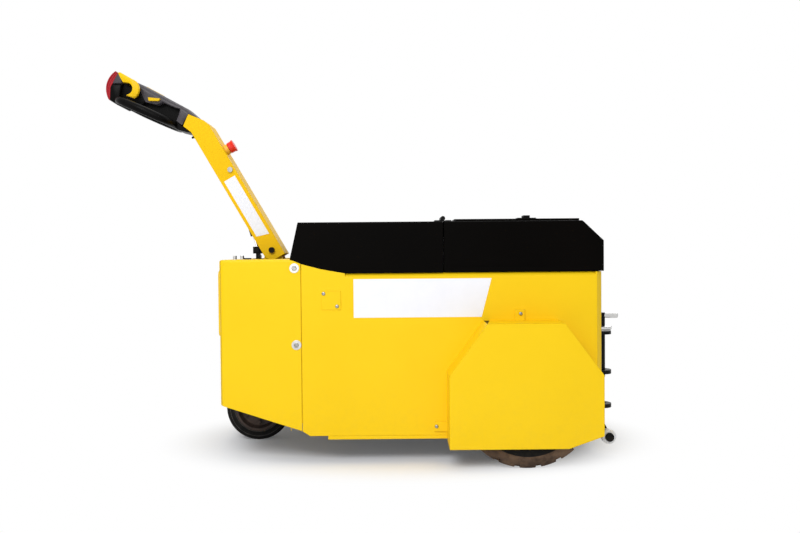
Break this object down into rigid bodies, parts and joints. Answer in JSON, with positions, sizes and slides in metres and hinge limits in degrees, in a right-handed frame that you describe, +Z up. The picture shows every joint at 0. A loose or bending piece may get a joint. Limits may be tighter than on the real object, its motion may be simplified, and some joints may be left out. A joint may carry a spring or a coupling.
{
  "type": "electric tow tractor",
  "caption": "Walk-behind electric tow tractor: yellow sheet-metal body, black top covers, steering tiller with a moulded head, drive wheels under fenders and a drop-pin hitch.",
  "frame": {"origin": "on the floor under the middle of the machine's outer box", "axes": "+X to the hitch end, +Y to the machine's left side seen from the tiller looking at the hitch, +Z up"},
  "size_m": [1.584, 0.788, 1.1462],
  "materials": {
    "yellow_paint": "semi-gloss powder coat",
    "black_cover": "satin powder coat",
    "black_steel": "satin black",
    "zinc": "zinc plated",
    "chrome_rod": "polished",
    "drive_rubber": "dusty rubber",
    "front_rubber": "worn rubber",
    "wheel_metal": "dull cast metal",
    "axle_casting": "dark cast metal",
    "battery_case": "matt case",
    "roller_nylon": "white nylon",
    "head_grey": "fine grained",
    "head_black": "soft grip",
    "control_yellow": "moulded",
    "stop_red": "moulded",
    "cap_red": "ribbed"
  },
  "bodies": {
    "chassis": {"floor_plate": "black_steel", "rail_left": "black_steel", "rail_right": "black_steel", "front_frame": "black_steel", "rear_plate": "yellow_paint", "nose_cover": "yellow_paint", "nose_hatch": "yellow_paint", "side_panel_left": "yellow_paint", "side_panel_right": "yellow_paint", "fender_left": "yellow_paint", "fender_right": "yellow_paint", "front_cover": "black_cover", "hinge_fixed": "black_steel", "battery_tray": "black_steel", "battery_pack": "battery_case", "transaxle": "axle_casting", "hitch": "black_steel", "pin_collar": "zinc", "roller_bracket_left": "black_steel", "roller_bracket_right": "black_steel"},
    "lid": {"lid": "black_cover", "hinge_moving": "black_steel", "lid_latch": "black_steel"},
    "steering": {"steer_column": "black_steel", "front_axle": "zinc", "tiller_base": "yellow_paint", "tiller_pivot": "black_steel", "strut_post": "black_steel"},
    "front_wheel": {"front_tyre": "front_rubber", "front_hub": "wheel_metal"},
    "tiller": {"tiller_arm": "yellow_paint", "strut_bolt": "zinc", "stop_collar": "control_yellow", "stop_button": "stop_red", "head_body": "head_grey", "head_grip": "head_black", "belly_button": "cap_red", "paddles": "control_yellow", "rocker": "control_yellow"},
    "strut_barrel": {"strut_cylinder": "black_steel"},
    "strut_piston": {"strut_rod": "chrome_rod"},
    "drive_wheel_left": {"drive_tyre_left": "drive_rubber", "drive_rim_left": "wheel_metal"},
    "drive_wheel_right": {"drive_tyre_right": "drive_rubber", "drive_rim_right": "wheel_metal"},
    "roller_wheel_left": {"roller_left": "roller_nylon"},
    "roller_wheel_right": {"roller_right": "roller_nylon"},
    "drop_pin": {"tow_pin": "black_steel", "pin_handle": "zinc"}
  },
  "joints": [
    {"name": "steer", "type": "hinge", "parent": "chassis", "child": "steering", "pos_m": [-0.34, 0, 0.39], "axis": [0, 0, 1], "range_deg": [-90, 90]},
    {"name": "tiller_tilt", "type": "hinge", "parent": "steering", "child": "tiller", "pos_m": [-0.29, 0, 0.593], "axis": [0, 1, 0], "range_deg": [-40, 0], "stiffness_Nm_per_rad": 60, "springref_deg": 34.38},
    {"name": "strut_swing", "type": "hinge", "parent": "tiller", "child": "strut_barrel", "pos_m": [-0.4154, 0, 0.84161], "axis": [0, 1, 0], "range_deg": [-8, 0.5]},
    {"name": "strut_stroke", "type": "slide", "parent": "strut_barrel", "child": "strut_piston", "axis": [0.2902, 0, -0.957], "range_m": [-0.032, 0.001]},
    {"name": "front_roll", "type": "hinge", "parent": "steering", "child": "front_wheel", "pos_m": [-0.34, 0, 0.1], "axis": [0, 1, 0], "continuous": true},
    {"name": "drive_roll_left", "type": "hinge", "parent": "chassis", "child": "drive_wheel_left", "pos_m": [0.444, 0.325, 0.186], "axis": [0, 1, 0], "continuous": true},
    {"name": "drive_roll_right", "type": "hinge", "parent": "chassis", "child": "drive_wheel_right", "pos_m": [0.444, -0.325, 0.186], "axis": [0, 1, 0], "continuous": true},
    {"name": "roller_spin_left", "type": "hinge", "parent": "chassis", "child": "roller_wheel_left", "pos_m": [0.691, 0.254, 0.058], "axis": [0, 1, 0], "continuous": true},
    {"name": "roller_spin_right", "type": "hinge", "parent": "chassis", "child": "roller_wheel_right", "pos_m": [0.691, -0.254, 0.058], "axis": [0, 1, 0], "continuous": true},
    {"name": "lid_swing", "type": "hinge", "parent": "chassis", "child": "lid", "pos_m": [0.226, 0, 0.677], "axis": [0, -1, 0], "range_deg": [0, 95]},
    {"name": "pin_lift", "type": "slide", "parent": "chassis", "child": "drop_pin", "axis": [0, 0, 1], "range_m": [0, 0.145]}
  ],
  "couplings": [
    {"joint": "strut_swing", "follows": "tiller_tilt", "ratio": 0.12615},
    {"joint": "strut_stroke", "follows": "tiller_tilt", "m_per_rad": 0.037896}
  ]
}
